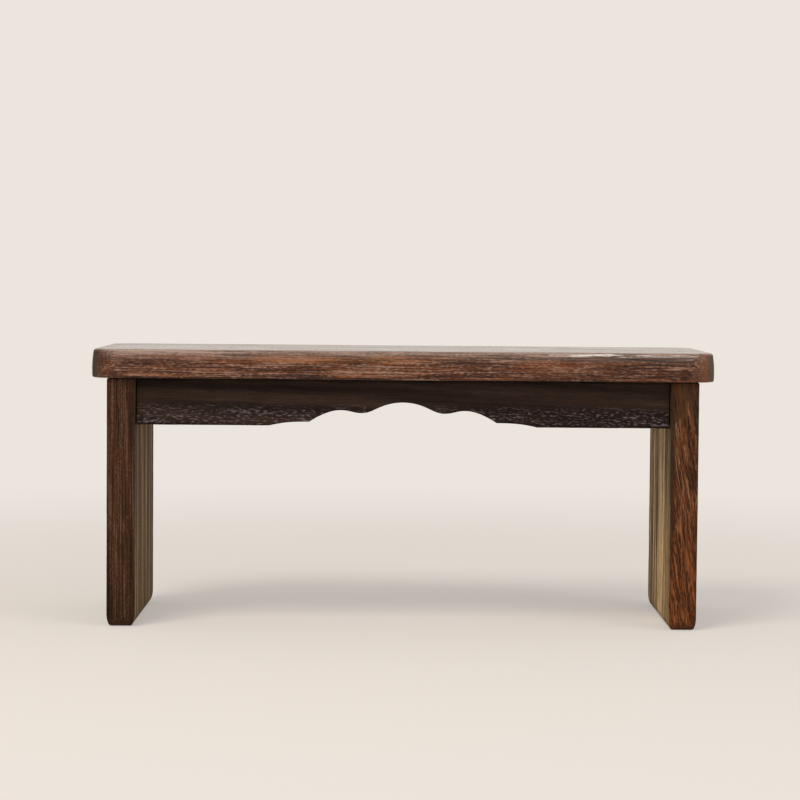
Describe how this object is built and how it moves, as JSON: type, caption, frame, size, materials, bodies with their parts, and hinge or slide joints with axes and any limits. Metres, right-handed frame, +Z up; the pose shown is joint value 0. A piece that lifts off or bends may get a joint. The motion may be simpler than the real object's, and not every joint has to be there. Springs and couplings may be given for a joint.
{
  "type": "folding meditation bench",
  "caption": "Low wooden kneeling bench with a scalloped front apron and slab legs that fold inwards under the seat.",
  "frame": {"origin": "on the floor, under the middle of the bench's bounding box", "axes": "+X along the seat's length, to the right in a front view; +Y from the scalloped apron to the back; +Z up"},
  "size_m": [0.45, 0.15, 0.2],
  "materials": {
    "oiled_wood": "scorched, wire-brushed and oiled, satin",
    "dark_wood": "scorched, wire-brushed and oiled, darker, satin",
    "beech": "turned, bare",
    "brass": "rolled and drawn, lightly aged",
    "steel": "zinc plated",
    "nickel": "nickel plated"
  },
  "bodies": {
    "seat": {"apron_dowel_1": "beech", "apron_dowel_2": "beech", "apron_dowel_3": "beech", "apron_dowel_4": "beech", "end_rail_left": "dark_wood", "end_rail_right": "dark_wood", "front_apron": "dark_wood", "hinge_left_back_pin": "steel", "hinge_left_back_rail_leaf": "brass", "hinge_left_back_rail_screw_1": "brass", "hinge_left_back_rail_screw_2": "brass", "hinge_left_front_pin": "steel", "hinge_left_front_rail_leaf": "brass", "hinge_left_front_rail_screw_1": "brass", "hinge_left_front_rail_screw_2": "brass", "hinge_right_back_pin": "steel", "hinge_right_back_rail_leaf": "brass", "hinge_right_back_rail_screw_1": "brass", "hinge_right_back_rail_screw_2": "brass", "hinge_right_front_pin": "steel", "hinge_right_front_rail_leaf": "brass", "hinge_right_front_rail_screw_1": "brass", "hinge_right_front_rail_screw_2": "brass", "rail_screw_left_1": "steel", "rail_screw_left_2": "steel", "rail_screw_left_3": "steel", "rail_screw_right_1": "steel", "rail_screw_right_2": "steel", "rail_screw_right_3": "steel", "seat_board": "oiled_wood", "seat_magnet_left_1": "nickel", "seat_magnet_left_2": "nickel", "seat_magnet_right_1": "nickel", "seat_magnet_right_2": "nickel"},
    "left_leg": {"hinge_left_back_leg_leaf": "brass", "hinge_left_back_leg_screw_1": "brass", "hinge_left_back_leg_screw_2": "brass", "hinge_left_front_leg_leaf": "brass", "hinge_left_front_leg_screw_1": "brass", "hinge_left_front_leg_screw_2": "brass", "leg_left": "oiled_wood", "leg_magnet_left_1": "nickel", "leg_magnet_left_2": "nickel"},
    "right_leg": {"hinge_right_back_leg_leaf": "brass", "hinge_right_back_leg_screw_1": "brass", "hinge_right_back_leg_screw_2": "brass", "hinge_right_front_leg_leaf": "brass", "hinge_right_front_leg_screw_1": "brass", "hinge_right_front_leg_screw_2": "brass", "leg_magnet_right_1": "nickel", "leg_magnet_right_2": "nickel", "leg_right": "oiled_wood"}
  },
  "joints": [
    {"name": "left_leg_fold", "type": "hinge", "parent": "seat", "child": "left_leg", "pos_m": [-0.1893, 0.0053, 0.1469], "axis": [0, -1, 0], "range_deg": [0, 90]},
    {"name": "right_leg_fold", "type": "hinge", "parent": "seat", "child": "right_leg", "pos_m": [0.1893, 0.0053, 0.1469], "axis": [0, 1, 0], "range_deg": [0, 90]}
  ]
}
